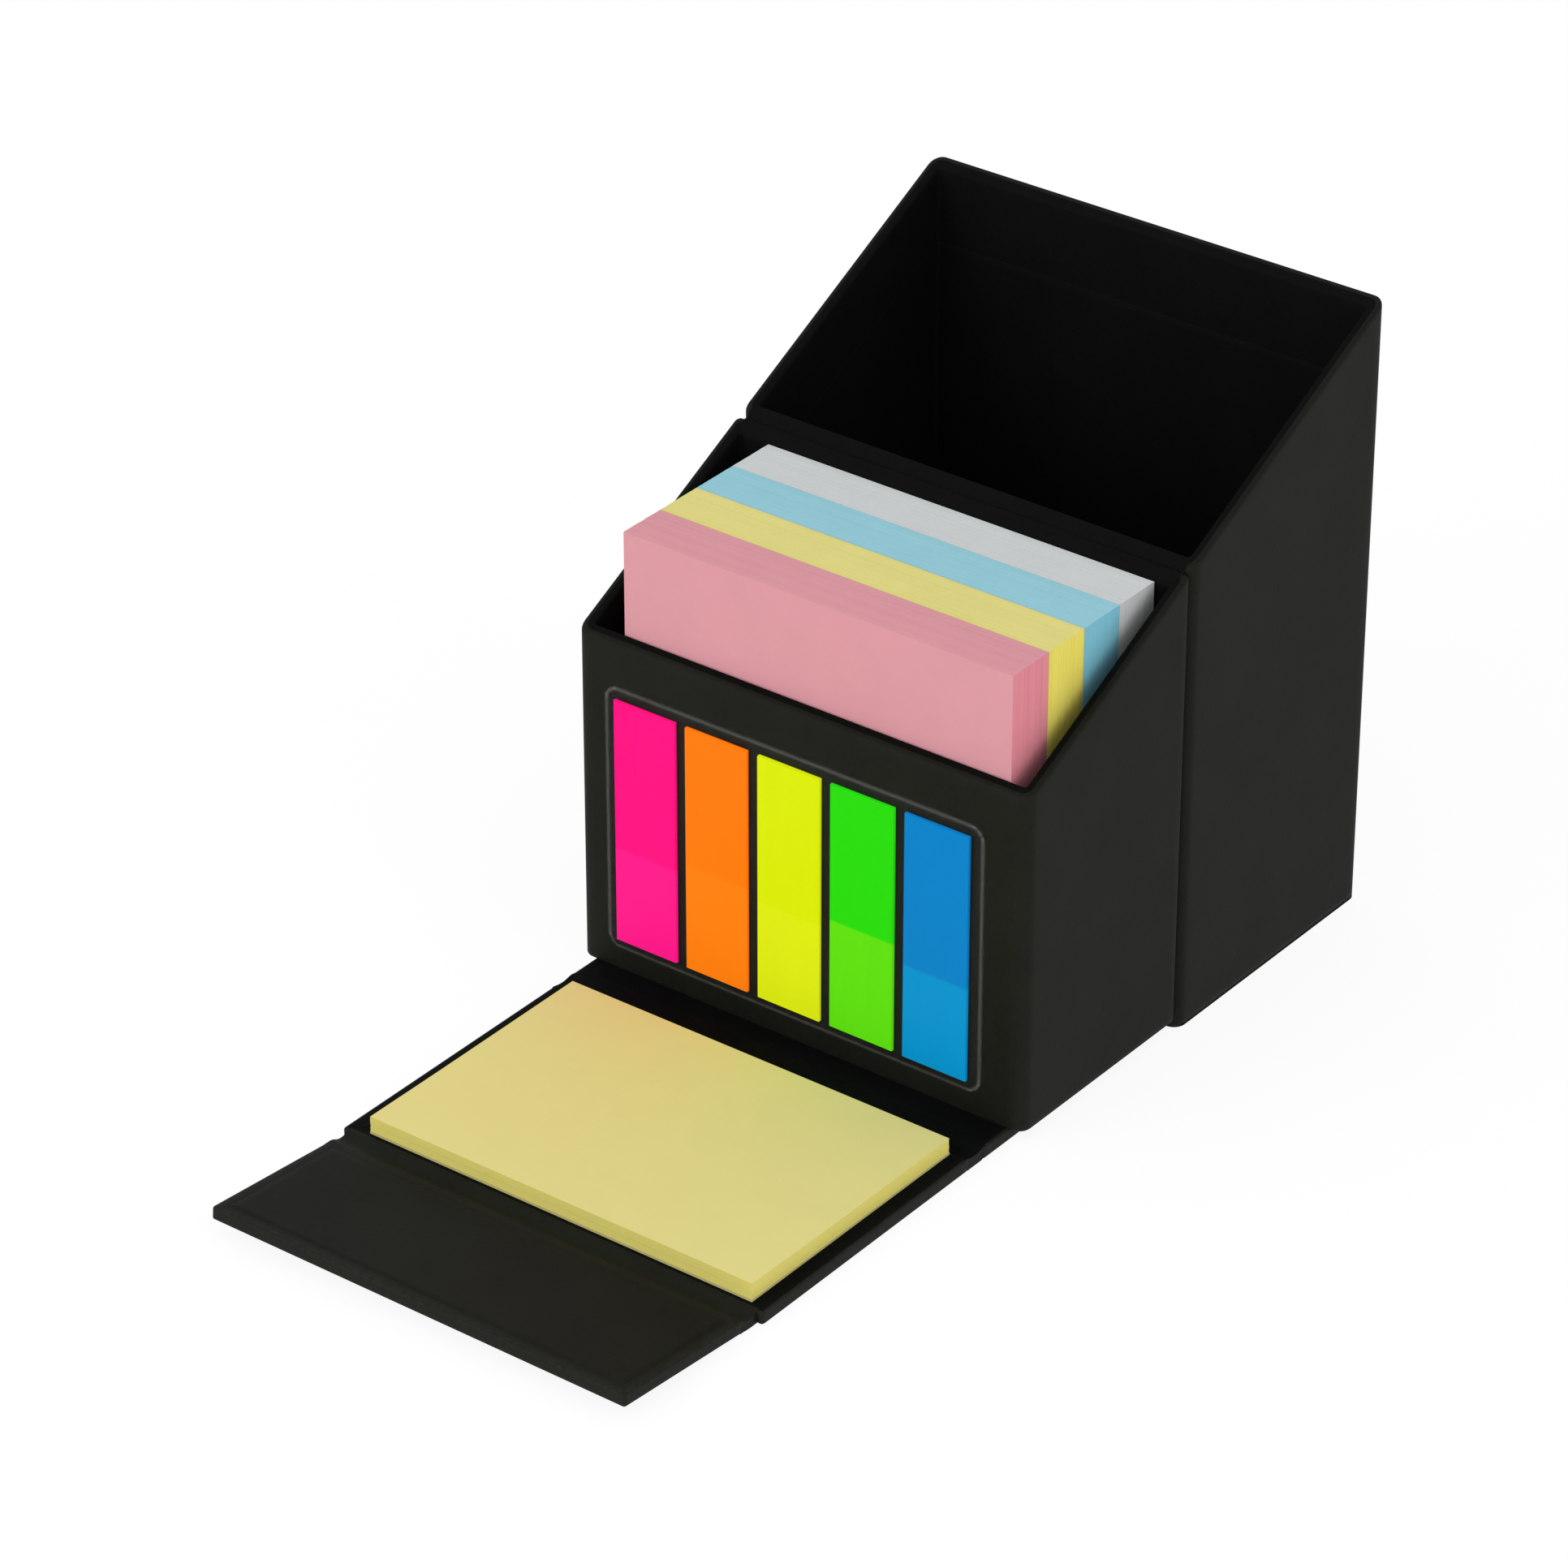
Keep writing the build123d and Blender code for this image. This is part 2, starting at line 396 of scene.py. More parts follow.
@dataclass(frozen=True)
class ClearFilm(Finish):
    """Clear film, pale along its weld: partly the weld's own milkiness, partly a painted highlight of the sleeve's
    edge.
    """

    colour: Colour = srgb(176, 174, 170)
    roughness: float = 0.12
    specular: float = 0.05
    haze_scale: float = 900.0
    scratch_scale: float = 2600.0
    veil: float = 0.004
    weld_veil_and_highlight: float = 0.13
    scratch_veil: float = 0.008
    haze_height: float = 0.00003
    haze_strength: float = 0.2

    def inputs(self, graph: Graph) -> dict[str | int, Any]:
        """Clear pane, pale weld and fine scratches; the weld's veil is partly its own milkiness, partly a painted
        highlight.

        Args:
            graph: The material's graph.

        Returns:
            Values and wires of the shader.
        """
        place = graph.place()
        weld = graph.attribute("weld")
        haze = graph.noise(place, self.haze_scale, 4.0)
        scratch = graph.noise(graph.stretched(place, (1.0, 1.0, 0.06)), self.scratch_scale, 2.0)
        scratches = scratch.ramp(0.6, 0.8) * self.scratch_veil
        return {
            "Base Color": self.colour,
            "Roughness": self.roughness + haze * 0.12 + weld * 0.2,
            "Specular IOR Level": self.specular,
            # The weld's veil: partly the weld's own milkiness, partly a painted highlight along the sleeve's edge.
            "Alpha": self.veil + weld * (self.weld_veil_and_highlight + haze * 0.1) + scratches,
            "Normal": graph.bump(haze, self.haze_height, self.haze_strength),
        }


@dataclass(frozen=True)
class GreyBoard(Finish):
    """Dense grey board, flecked with dark and light fibres."""

    colour: Colour = srgb(148, 144, 136)
    roughness: float = 0.88
    specular: float = 0.2
    cloud_scale: float = 220.0
    fleck_scale: float = 900.0
    fleck_shade: float = 0.4
    fibre_height: float = 0.0001
    fibre_strength: float = 0.5

    def inputs(self, graph: Graph) -> dict[str | int, Any]:
        """Flecks over a clouded grey.

        Args:
            graph: The material's graph.

        Returns:
            Values and wires of the shader.
        """
        place = graph.place()
        cloud = graph.noise(place, self.cloud_scale, 4.0)
        fleck = graph.noise(graph.stretched(place, (1.0, 1.0, 4.0)), self.fleck_scale, 4.0, 0.7)
        plain = graph.mix(cloud, shade(self.colour, 0.85), shade(self.colour, 1.12))
        return {
            "Base Color": graph.mix(fleck.ramp(0.6, 0.72), plain, shade(self.colour, self.fleck_shade)),
            "Roughness": self.roughness + (fleck - 0.5) * 0.1,
            "Specular IOR Level": self.specular,
            "Normal": graph.bump(cloud + fleck, self.fibre_height, self.fibre_strength),
        }


WRAP = BlackPaper("black wrap paper")
# The wrap's black paper made darker: painted shade. It is worn inside the boxes, on the inner half of their rims, on
# top of the base and the cover panel, and on top of the lid band and the cover's fold, where shade falls. The flap
# keeps the lighter wrap.
SHADED_LINING = BlackPaper("black lining paper in painted shade", srgb(11, 13, 12), srgb(20, 21, 20), 0.74, 0.04)
BOARD = GreyBoard("grey board")
# The backing card is darker than the sheets: painted shade at the foot of the sticky pad.
SHADED_CARD = NotePaper("backing card in painted shade", srgb(196, 188, 128), srgb(196, 188, 128), 0.08)
# The second colour of the sticky and memo papers is painted shading for the cut sides of their sheets.
STICKY = NotePaper("sticky note paper", srgb(221, 211, 136), srgb(232, 220, 119), 0.05)
CLEAR = ClearFilm("clear film")
PADS: dict[str, NotePaper] = {
    "pink": NotePaper("pink memo paper", srgb(215, 150, 159), srgb(226, 139, 151)),
    "yellow": NotePaper("yellow memo paper", srgb(220, 212, 130), srgb(236, 222, 100)),
    "blue": NotePaper("blue memo paper", srgb(147, 199, 212), srgb(126, 194, 213)),
    "white": NotePaper("white memo paper", srgb(201, 205, 205), srgb(204, 207, 207)),
}
FLAGS: dict[str, FlagFilm] = {
    "pink": FlagFilm("pink flag film", srgb(255, 6, 128), srgb(255, 22, 140), 0.0255),
    "orange": FlagFilm("orange flag film", srgb(255, 122, 2), srgb(255, 128, 10), 0.0275),
    "yellow": FlagFilm("yellow flag film", srgb(217, 234, 0), srgb(222, 236, 16), 0.0260),
    "green": FlagFilm("green flag film", srgb(38, 219, 6), srgb(98, 226, 14), 0.0280),
    "blue": FlagFilm("blue flag film", srgb(0, 128, 200), srgb(0, 146, 207), 0.0252, 0.7, 0.38),
}


def put_in_scene(name: str, data: bpy.types.ID) -> bpy.types.Object:
    """Adds an object to the scene.

    Args:
        name: Its name.
        data: The mesh, lamp or camera that it shows.

    Returns:
        The object, at the origin.
    """
    made = bpy.data.objects.new(name, data)
    bpy.context.scene.collection.objects.link(made)
    return made


def finish_mesh(name: str, points: Sequence[Sequence[float]], faces: Sequence[Sequence[int]],
                finish: Finish, values: dict[str, Sequence[float]] | None = None,
                sharp: float = 40.0, inner: tuple[Finish, int] | None = None) -> bpy.types.Object:
    """Makes an object of points and faces.

    Args:
        name: The piece's name.
        points: Its points in the frame.
        faces: Its faces, as numbers of points.
        finish: What it is made of.
        values: Numbers for each point, by attribute name.
        sharp: Edges that turn by more than this, in degrees, stay sharp.
        inner: A second finish, and the first of the faces that wear it.

    Returns:
        The object, at the origin.
    """
    mesh = bpy.data.meshes.new(name)
    mesh.from_pydata([tuple(p) for p in points], [], [tuple(f) for f in faces])
    work = bmesh.new()
    work.from_mesh(mesh)
    bmesh.ops.recalc_face_normals(work, faces=work.faces)
    work.to_mesh(mesh)
    work.free()
    for attribute, numbers in (values or {}).items():
        layer = mesh.attributes.new(attribute, "FLOAT", "POINT")
        layer.data.foreach_set("value", np.asarray(numbers, np.float32))
    mesh.polygons.foreach_set("use_smooth", [True] * len(mesh.polygons))
    mesh.set_sharp_from_angle(angle=math.radians(sharp))
    mesh.materials.append(finish.material())
    if inner:
        mesh.materials.append(inner[0].material())
        mesh.polygons.foreach_set("material_index", [int(face >= inner[1]) for face in range(len(faces))])
    return put_in_scene(name, mesh)


def seat(piece: bpy.types.Object, body: str, slot: str, *nodes: str) -> None:
    """Puts a piece on its body in place of solids, and reports it.

    Args:
        piece: The piece.
        body: The body that carries it.
        slot: Its material slot; not used.
        nodes: The solids that it stands in for.
    """
    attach(piece, body)
    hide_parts(*nodes)
    LOG.info("%s on %s, %d faces", piece.name, body, len(piece.data.polygons))


def wear_node(node: str, finish: Finish) -> None:
    """Gives a solid that stays in view its finish, and reports it.

    Args:
        node: The solid's name.
        finish: What it is made of.
    """
    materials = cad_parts[node].data.materials
    materials.clear()
    materials.append(finish.material())
    LOG.info("%s in %s", node, finish.name)


@dataclass(frozen=True)
class LoopPoint:
    """A point of an outline: its place, its outward normal, and where it lies on its side."""

    x: float
    y: float
    out_x: float
    out_y: float
    corner: float
    along: float


def quarter(step: int, start: int = 0) -> list[float]:
    """Angles of a quarter turn, in steps of some degrees."""
    return [math.radians(turn) for turn in range(start, 91, step)]


def rounded_loop(half: float, y_low: float, y_high: float, radii: tuple[float, float], arc: int = 6,
                 run: int = 10, lead: float = 1.2 * MM) -> list[LoopPoint]:
    """Outline of a rectangle with rounded corners, anticlockwise seen from above.

    Args:
        half: Half its width along X.
        y_low: Its front.
        y_high: Its rear.
        radii: Radius of its front and of its rear corners.
        arc: Steps in a corner.
        run: Steps along a side.
        lead: Length of the first and last step of a side.

    Returns:
        Its points.
    """
    front, rear = radii
    middles = ((half - front, y_low + front, -90.0, front), (half - rear, y_high - rear, 0.0, rear),
               (rear - half, y_high - rear, 90.0, rear), (front - half, y_low + front, 180.0, front))
    points: list[LoopPoint] = []
    for side, (mid_x, mid_y, start, radius) in enumerate(middles):
        for step in range(arc + 1):
            turn = math.radians(start + 90.0 * step / arc)
            out_x, out_y = math.cos(turn), math.sin(turn)
            points.append(LoopPoint(mid_x + radius * out_x, mid_y + radius * out_y, out_x, out_y, 1.0, 0.0))
        next_x, next_y, next_start, next_radius = middles[(side + 1) % 4]
        last = points[-1]
        end_x = next_x + next_radius * math.cos(math.radians(next_start))
        end_y = next_y + next_radius * math.sin(math.radians(next_start))
        length = math.hypot(end_x - last.x, end_y - last.y)
        first = min(lead / length, MOST_LEAD)
        shares = [first + (1 - 2 * first) * step / run for step in range(run + 1)]
        for share in shares:
            points.append(LoopPoint(last.x + (end_x - last.x) * share, last.y + (end_y - last.y) * share,
                                    last.out_x, last.out_y, 0.0, share))
    return points


def loft(rings: Sequence[Sequence[Point]], closed: bool) -> tuple[list[Point], Faces]:
    """Points and faces of a skin over rings of points.

    Args:
        rings: Rings with the same number of points each.
        closed: Whether the last ring joins the first. The end rings are capped where it doesn't.

    Returns:
        Points in the rings' order, and faces: the first ring's cap, then row by row, then the last ring's cap.
    """
    count = len(rings[0])
    points = [point for ring in rings for point in ring]
    faces = [] if closed else [tuple(range(count))]
    last = len(rings) if closed else len(rings) - 1
    for row in range(last):
        low, high = row * count, (row + 1) % len(rings) * count
        for column in range(count):
            after = (column + 1) % count
            faces.append((low + column, low + after, high + after, high + column))
    if not closed:
        faces.append(tuple(range(len(points) - count, len(points))))
    return points, faces


class Level(Enum):
    """What the height of a ring on a box is counted from."""

    FOOT = "foot"
    RIM = "rim"
    BETWEEN = "between"


@dataclass(frozen=True)
class Ring:
    """One ring of a box's paper: how far in, its height, and how worn it is."""

    inset: float
    level: Level
    height: float
    wear: float = 0.0


@dataclass(frozen=True)
class RimPlane:
    """The slanted plane of both boxes' rims, through the fold of the lid."""

    fold_y: float = 41.8 * MM
    fold_z: float = 83.7 * MM
    angle: float = math.radians(26.6)
    drop: float = 0.3 * MM

    def height(self, y: float, above: float = 0.0) -> float:
        """Height at y of the plane, or of one parallel to it and higher."""
        return self.fold_z + (y - self.fold_y) * math.tan(self.angle) + (above - self.drop) / math.cos(self.angle)


RIM = RimPlane()


@dataclass
class WrappedBox:
    """A board box in black wrap paper, which is turned in over a slanted rim and lined; the inside and the rim's inner
    half wear the darker lining paper, which is painted shade.
    """

    prefix: str
    paper: float = 0.2 * MM
    wall: float = 2.2 * MM
    corner_radii: tuple[float, float] = (SOFT_CORNER, SOFT_CORNER)
    corner_wear: float = 0.2
    inner_radius: float = 0.6 * MM
    rim_round: float = 0.55 * MM
    rim_step: int = 15
    rim_split: float = 0.42
    rim_wear: float = 0.08
    foot_round: float = 0.3 * MM
    foot_step: int = 45
    foot_wear: float = 0.5
    wall_steps: int = 6
    turn_in: float = 12.0 * MM
    turn_in_edge: float = 0.02 * MM
    lead: float = 1.3 * MM
    bow: float = 0.09 * MM
    lining_proud: float = 0.06 * MM
    floor_round: float = 0.4 * MM
    floor_ease: float = 0.3
    half: float = field(default=0.0, init=False)
    y_low: float = field(default=0.0, init=False)
    y_high: float = field(default=0.0, init=False)
    foot: float = field(default=0.0, init=False)
    floor: float = field(default=0.0, init=False)

    def build(self) -> None:
        """Makes the wrap and the lining, and dresses the boards inside them."""
        low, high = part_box(self.prefix + "_wrap")
        self.half = high.x
        self.y_low, self.y_high, self.foot = low.y, high.y, low.z
        self.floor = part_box(self.prefix + "_floor_board")[1].z
        rings = self.wrap_rings()
        points, faces = loft([self.ring(r) for r in rings], True)
        wear = [self.worn(r, p) for r in rings for p in self.outline(r.inset)]
        # Painted shade: from the middle of the rim down the inside, the wrap wears the darker lining paper.
        turned = next(i for i, r in enumerate(rings) if r.inset > self.rim_round)
        inner = (SHADED_LINING, turned * len(self.outline(0.0)))
        wrap = finish_mesh(self.prefix + "_soft_wrap", points, faces, WRAP, {"wear": wear}, inner=inner)
        seat(wrap, self.prefix, "wrap_paper", self.prefix + "_wrap")
        # Painted shade: the lining inside the box is in the darker lining paper.
        points, faces = loft([self.ring(r) for r in self.lining_rings()], False)
        lining = finish_mesh(self.prefix + "_soft_lining", points, faces, SHADED_LINING)
        seat(lining, self.prefix, "lining_paper", self.prefix + "_lining")
        for side in BOX_SIDES:
            wear_node(f"{self.prefix}_{side}_board", BOARD)

    def worn(self, ring: Ring, point: LoopPoint) -> float:
        """How worn a point of the wrap is, by its ring or by the corner it lies on."""
        return max(ring.wear, point.corner * self.corner_wear * (ring.inset < self.paper))

    def outline(self, inset: float) -> list[LoopPoint]:
        """The box's outline, moved in.

        Args:
            inset: How far in.

        Returns:
            Its points.
        """
        share = min(inset / self.wall, 1.0)
        front, rear = (radius + (self.inner_radius - radius) * share for radius in self.corner_radii)
        return rounded_loop(self.half - inset, self.y_low + inset, self.y_high - inset, (front, rear))

    def ring(self, ring: Ring) -> list[Point]:
        """Points of one ring.

        Args:
            ring: Which ring.

        Returns:
            Its points in the frame.
        """
        points = []
        for p in self.outline(ring.inset):
            x, y = p.x, p.y
            if ring.level is Level.FOOT:
                z = self.foot + ring.height
            elif ring.level is Level.RIM:
                z = RIM.height(y, -ring.height)
            else:
                bottom = self.foot + self.lead
                z = bottom + (RIM.height(y, -self.lead - self.rim_round) - bottom) * ring.height
                hollow = self.bow * 4 * ring.height * (1 - ring.height) * 4 * p.along * (1 - p.along)
                x, y = x - p.out_x * hollow, y - p.out_y * hollow
            points.append((x, y, z))
        return points

    def wrap_rings(self) -> list[Ring]:
        """Rings of the wrap: up the outside, over the rim, down the inside and back through the wall.

        Returns:
            The rings in that order.
        """
        rings = [Ring(self.foot_round * (1 - math.sin(turn)), Level.FOOT, self.foot_round * (1 - math.cos(turn)),
                      self.foot_wear) for turn in quarter(self.foot_step)]
        rings.append(Ring(0.0, Level.FOOT, self.lead))
        rings += [Ring(0.0, Level.BETWEEN, step / self.wall_steps) for step in range(1, self.wall_steps)]
        rings.append(Ring(0.0, Level.RIM, self.lead + self.rim_round))
        over = [(self.rim_round * (1 - math.cos(turn)), self.rim_round * (1 - math.sin(turn)))
                for turn in quarter(self.rim_step)]
        rings += [Ring(inset, Level.RIM, depth, self.rim_wear) for inset, depth in over]
        rings.append(Ring(self.wall * self.rim_split, Level.RIM, 0.0, self.rim_wear))
        rings += [Ring(self.wall - inset, Level.RIM, depth, self.rim_wear) for inset, depth in reversed(over)]
        rings.append(Ring(self.wall, Level.RIM, self.lead + self.rim_round))
        rings.append(Ring(self.wall, Level.RIM, self.turn_in - self.turn_in_edge))
        behind = self.rim_round + 1.5 * self.paper
        rings.append(Ring(self.wall - self.paper, Level.RIM, self.turn_in))
        rings.append(Ring(self.wall - self.paper, Level.RIM, behind))
        rings.append(Ring(self.paper, Level.RIM, behind))
        rings.append(Ring(self.paper + self.foot_round, Level.FOOT, self.foot_round))
        return rings

    def lining_rings(self) -> list[Ring]:
        """Rings of the lining: up behind it, over its top edge, down its face and in to the floor.

        Returns:
            The rings in that order.
        """
        under = self.floor - self.foot
        face, ease = self.wall + self.lining_proud, self.floor_ease * self.floor_round
        return [
            Ring(self.wall - 0.5 * self.paper, Level.FOOT, under),
            Ring(self.wall - 0.5 * self.paper, Level.RIM, self.turn_in),
            Ring(self.wall, Level.RIM, self.turn_in),
            Ring(face, Level.RIM, self.turn_in + self.lining_proud),
            Ring(face, Level.RIM, self.turn_in + self.lead),
            Ring(face, Level.FOOT, under + self.paper + self.floor_round),
            Ring(face + ease, Level.FOOT, under + self.paper + ease),
            Ring(face + self.floor_round, Level.FOOT, under + self.paper),
        ]


@dataclass
class CoverBoard:
    """A flat board of the cover in wrap paper, with soft edges and a lining on top."""

    prefix: str
    body: str
    radius: float = 0.6 * MM
    least_radius: float = 0.2 * MM
    edge: float = 0.45 * MM
    edge_step: int = 15
    edge_wear: float = 1.0
    side_wear: tuple[float, float, float] = (0.5, 0.8, 0.6)
    lead: float = 1.2 * MM
    margin: float = 2.0 * MM
    lining_depth: float = 0.1 * MM
    lining_proud: float = 0.02 * MM
    tilt: float = 0.0
    fold: tuple[float, float] = (0.0, 0.0)
    thickness: float = 2.2 * MM
    # Finish of the board's top; where it is the darker lining paper, that is painted shade.
    inside: Finish = WRAP
    half: float = field(default=0.0, init=False)
    y_low: float = field(default=0.0, init=False)
    y_high: float = field(default=0.0, init=False)

    def build(self) -> None:
        """Makes the wrap and the lining, and dresses the board inside them."""
        low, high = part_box(self.prefix + "_wrap")
        self.half = high.x
        self.y_low, self.y_high = self.flat_span(low.y) if self.tilt else (low.y, high.y)
        rings = self.wrap_rings()
        wrap = self.slab(self.prefix + "_soft_wrap", rings, len(rings) - 2)
        seat(wrap, self.body, "wrap_paper", self.prefix + "_wrap")
        lining = self.slab(self.prefix + "_soft_lining", self.lining_rings(), 0)
        seat(lining, self.body, "lining_paper", self.prefix + "_lining")
        wear_node(self.prefix + "_board", BOARD)

    def flat_span(self, front: float) -> tuple[float, float]:
        """Where a raised board reaches before it is turned up about its fold.

        Args:
            front: Its front when it is turned up.

        Returns:
            Its front and rear when it lies flat.
        """
        reach = (self.fold[0] - front - self.fold[1] * math.sin(self.tilt)) / math.cos(self.tilt)
        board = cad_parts[self.prefix + "_wrap"].data.vertices
        turned = [(v.co.y - self.fold[0]) * math.cos(self.tilt) - (v.co.z - self.fold[1]) * math.sin(self.tilt)
                  for v in board]
        return self.fold[0] - reach, self.fold[0] + max(turned)

    def wrap_rings(self) -> list[Point]:
        """Rings of the wrap, from the underside over the edge to the top.

        Returns:
            Inset, height and wear of each ring.
        """
        top, (under_wear, low_wear, high_wear) = self.thickness, self.side_wear
        rings = [(0.5 * self.edge, 0.0, under_wear), (0.0, 0.5 * self.edge, low_wear),
                 (0.0, top - self.edge, high_wear)]
        rings += [(self.edge * (1 - math.cos(turn)), top - self.edge * (1 - math.sin(turn)), self.edge_wear)
                  for turn in quarter(self.edge_step, self.edge_step)]
        rings.append((self.edge + self.lead, top, 0.0))
        return rings

    def lining_rings(self) -> list[Point]:
        """Rings of the lining, from inside the board over its edge to the top.

        Returns:
            Inset, height and wear of each ring.
        """
        top, proud = self.thickness, self.lining_proud
        return [(self.margin, top - self.lining_depth, 0.0), (self.margin, top + 0.4 * proud, 0.0),
                (self.margin + proud, top + proud, 0.0), (self.margin + self.lead, top + proud, 0.0)]

    def slab(self, name: str, rings: Sequence[Point], turned: int) -> bpy.types.Object:
        """A soft-edged slab over rings of inset, height and wear.

        Args:
            name: The piece's name.
            rings: Inset, height and wear of each ring, from the underside up.
            turned: The first ring on the board's inside.

        Returns:
            The slab, turned up where the board is.
        """
        loops, wear = [], []
        for inset, height, worn in rings:
            radius = max(self.radius - inset, self.least_radius)
            outline = rounded_loop(self.half - inset, self.y_low + inset, self.y_high - inset, (radius, radius))
            loops.append([self.placed(p.x, p.y, height) for p in outline])
            wear += [max(worn, p.corner * (inset == 0.0)) for p in outline]
        points, faces = loft(loops, False)
        first = 1 + turned * len(loops[0])
        return finish_mesh(name, points, faces, WRAP, {"wear": wear}, inner=(self.inside, first))

    def placed(self, x: float, y: float, z: float) -> Point:
        """A point of the flat board, turned up about the fold.

        Args:
            x: Place across the board.
            y: Place along it.
            z: Height on it.

        Returns:
            The point in the frame.
        """
        away, above = y - self.fold[0], z - self.fold[1]
        turned_y = away * math.cos(self.tilt) + above * math.sin(self.tilt)
        turned_z = above * math.cos(self.tilt) - away * math.sin(self.tilt)
        return x, self.fold[0] + turned_y, self.fold[1] + turned_z


def smooth_path(knots: Sequence[tuple[float, float]], steps: int) -> np.ndarray:
    """A smooth line through knots.

    Args:
        knots: Points in Y and Z that the line passes.
        steps: Steps between two knots.

    Returns:
        Points of the line, one row each.
    """
    line = np.array([knots[0], *knots, knots[-1]], float)
    points = []
    for index in range(1, len(line) - 2):
        before, start, end, after = line[index - 1:index + 3]
        for step in range(steps):
            t = step / steps
            points.append(0.5 * (2 * start + (end - before) * t + (2 * before - 5 * start + 4 * end - after) * t ** 2
                                 + (3 * start - before - 3 * end + after) * t ** 3))
    points.append(line[-2])
    return np.array(points)


@dataclass
class FoldPaper:
    """A strip of paper across a fold between two bodies, made in a fixed bent shape."""

    name: str
    bodies: tuple[str, str]
    nodes: tuple[str, ...]
    knots: tuple[tuple[float, float], ...]
    half_widths: tuple[float, float]
    bend: tuple[float, float]
    thickness: float = 0.2 * MM
    inner_from: float = 0.0
    under: tuple[tuple[float, float], ...] = ()
    steps: int = 5
    columns: int = 24
    # Finish of the strip's top; where it is the darker lining paper, that is painted shade.
    inside: Finish = WRAP
    wear: float = 0.25
    ripple: float = 0.05 * MM
    ripple_waves: tuple[float, float] = (310.0, 97.0)
    ripple_shift: float = 1.3
    clear: float = 0.01 * MM

    def build(self) -> None:
        """Makes the strip in its place in the frame."""
        line = smooth_path(self.knots, self.steps)
        points = self.rows(line) + self.rows(self.underside(line))
        outside, top = self.faces(len(line))
        wear = [self.wear] * len(points)
        strip = finish_mesh(self.name, points, outside + top, WRAP, {"wear": wear}, inner=(self.inside, len(outside)))
        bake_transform(strip)
        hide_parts(*self.nodes)
        LOG.info("%s between %s and %s, %d faces", self.name, *self.bodies, len(outside) + len(top))

    def underside(self, line: np.ndarray) -> np.ndarray:
        """The line of the strip's underside.

        Args:
            line: The line of its top.

        Returns:
            Points of the line, one row each.
        """
        if self.under:
            return smooth_path(self.under, self.steps)
        along = np.gradient(line, axis=0)
        along /= np.linalg.norm(along, axis=1)[:, None]
        return line - np.stack([-along[:, 1], along[:, 0]], 1) * self.thickness

    def rows(self, line: np.ndarray) -> list[Point]:
        """Rows of points across the strip, with a faint ripple in the bend.

        Args:
            line: The line that the rows cross.

        Returns:
            The points, row by row.
        """
        points = []
        for y, z in line:
            half = self.half_width(z, y)
            for column in range(self.columns + 1):
                x = half * (2 * column / self.columns - 1)
                swell = math.sin(x * self.ripple_waves[0] + self.ripple_shift) * math.sin(x * self.ripple_waves[1])
                points.append((x, y, max(z + self.ripple * swell * self.in_bend(y), self.clear)))
        return points

    def faces(self, rows: int) -> tuple[Faces, Faces]:
        """Faces of the strip.

        Args:
            rows: Rows of points on its top, and on its underside.

        Returns:
            Faces of its underside and edges, and faces of its top.
        """
        wide, layer = self.columns + 1, rows * (self.columns + 1)
        outside, top = [], []
        for row in range(rows - 1):
            for column in range(self.columns):
                a = row * wide + column
                b = a + layer
                top.append((a, a + 1, a + wide + 1, a + wide))
                outside.append((b, b + wide, b + wide + 1, b + 1))
            for edge in (0, self.columns):
                a = row * wide + edge
                outside.append((a, a + wide, a + wide + layer, a + layer))
        for row in (0, rows - 1):
            for column in range(self.columns):
                a = row * wide + column
                outside.append((a, a + 1, a + 1 + layer, a + layer))
        return outside, top

    def half_width(self, z: float, y: float) -> float:
        """Half the strip's width at a point of its line."""
        return self.half_widths[1] if self.inner_from and z < self.inner_height(y) else self.half_widths[0]

    def inner_height(self, y: float) -> float:
        """Height under which a strip over a wall lies inside the box."""
        return RIM.height(y) - self.inner_from

    def in_bend(self, y: float) -> float:
        """How far a point lies within the bend, from 0 at its ends to 1 in its middle."""
        share = (y - self.bend[0]) / (self.bend[1] - self.bend[0])
        return 4 * share * (1 - share) if 0 < share < 1 else 0.0


class StackInput(Enum):
    """Inputs of the sheet stack's node tree, with their socket types."""

    SHEET = ("Sheet size", "NodeSocketVector")
    FIRST = ("First sheet", "NodeSocketVector")
    STEP = ("Step", "NodeSocketVector")
    STRAY = ("Stray", "NodeSocketVector")
    DRIFT = ("Drift", "NodeSocketVector")
    COUNT = ("Sheets", "NodeSocketInt")
    CELLS = ("Cells along a sheet", "NodeSocketInt")
    SEED = ("Seed", "NodeSocketInt")
    LIFT = ("Corner lift", "NodeSocketFloat")
    PAPER = ("Paper", "NodeSocketMaterial")


